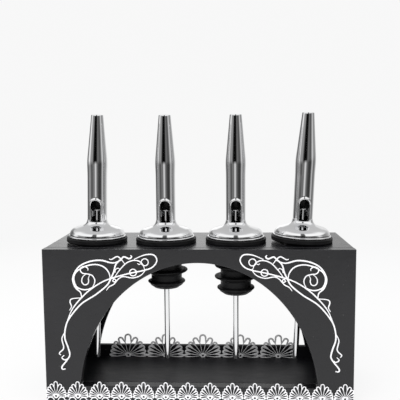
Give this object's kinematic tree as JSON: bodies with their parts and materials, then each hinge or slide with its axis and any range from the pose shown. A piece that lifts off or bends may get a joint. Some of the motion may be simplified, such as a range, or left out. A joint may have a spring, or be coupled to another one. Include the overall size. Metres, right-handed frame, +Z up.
{
  "type": "bottle pourer stand",
  "caption": "Black board stand with an arched front, silver lace and scroll trim, holding chrome free-flow bottle pourers that lift out and turn in their ribbed corks.",
  "frame": {"origin": "on the ground, at the middle of the outline's width and depth", "axes": "+X along the stand's width to the viewer's right, +Y from the decorated face to the back, +Z up"},
  "size_m": [0.165, 0.059, 0.1568],
  "materials": {
    "black_board": "satin black paint",
    "silver_trim": "satin silver",
    "chrome": "polished",
    "rubber": "semi-matt"
  },
  "bodies": {
    "stand": {"front_panel": "black_board", "back_panel": "black_board", "left_side": "black_board", "right_side": "black_board", "base_board": "black_board", "deck": "black_board", "front_lace": "silver_trim", "back_lace": "silver_trim", "left_scroll": "silver_trim", "right_scroll": "silver_trim"},
    "cork_body_1": {"cork_1": "rubber", "collar_ring_1": "rubber"},
    "spout_body_1": {"spout_1": "chrome", "collar_1": "chrome", "stem_1": "chrome", "breather_tube_1": "chrome"},
    "cork_body_2": {"cork_2": "rubber", "collar_ring_2": "rubber"},
    "spout_body_2": {"spout_2": "chrome", "collar_2": "chrome", "stem_2": "chrome", "breather_tube_2": "chrome"},
    "cork_body_3": {"cork_3": "rubber", "collar_ring_3": "rubber"},
    "spout_body_3": {"spout_3": "chrome", "collar_3": "chrome", "stem_3": "chrome", "breather_tube_3": "chrome"},
    "cork_body_4": {"cork_4": "rubber", "collar_ring_4": "rubber"},
    "spout_body_4": {"spout_4": "chrome", "collar_4": "chrome", "stem_4": "chrome", "breather_tube_4": "chrome"}
  },
  "joints": [
    {"name": "lift_1", "type": "slide", "parent": "stand", "child": "cork_body_1", "axis": [0.0244, 0, 0.9997], "range_m": [0, 0.075]},
    {"name": "turn_1", "type": "hinge", "parent": "cork_body_1", "child": "spout_body_1", "pos_m": [-0.0582, -0.0031, 0.08542], "axis": [0.0244, 0, 0.9997], "continuous": true},
    {"name": "lift_2", "type": "slide", "parent": "stand", "child": "cork_body_2", "axis": [0, 0, 1], "range_m": [0, 0.075]},
    {"name": "turn_2", "type": "hinge", "parent": "cork_body_2", "child": "spout_body_2", "pos_m": [-0.0188, -0.0031, 0.085], "axis": [0, 0, 1], "continuous": true},
    {"name": "lift_3", "type": "slide", "parent": "stand", "child": "cork_body_3", "axis": [0, 0, 1], "range_m": [0, 0.075]},
    {"name": "turn_3", "type": "hinge", "parent": "cork_body_3", "child": "spout_body_3", "pos_m": [0.0206, -0.0031, 0.085], "axis": [0, 0, 1], "continuous": true},
    {"name": "lift_4", "type": "slide", "parent": "stand", "child": "cork_body_4", "axis": [0.0419, 0, 0.9991], "range_m": [0, 0.075]},
    {"name": "turn_4", "type": "hinge", "parent": "cork_body_4", "child": "spout_body_4", "pos_m": [0.05745, -0.0031, 0.08571], "axis": [0.0419, 0, 0.9991], "continuous": true}
  ]
}
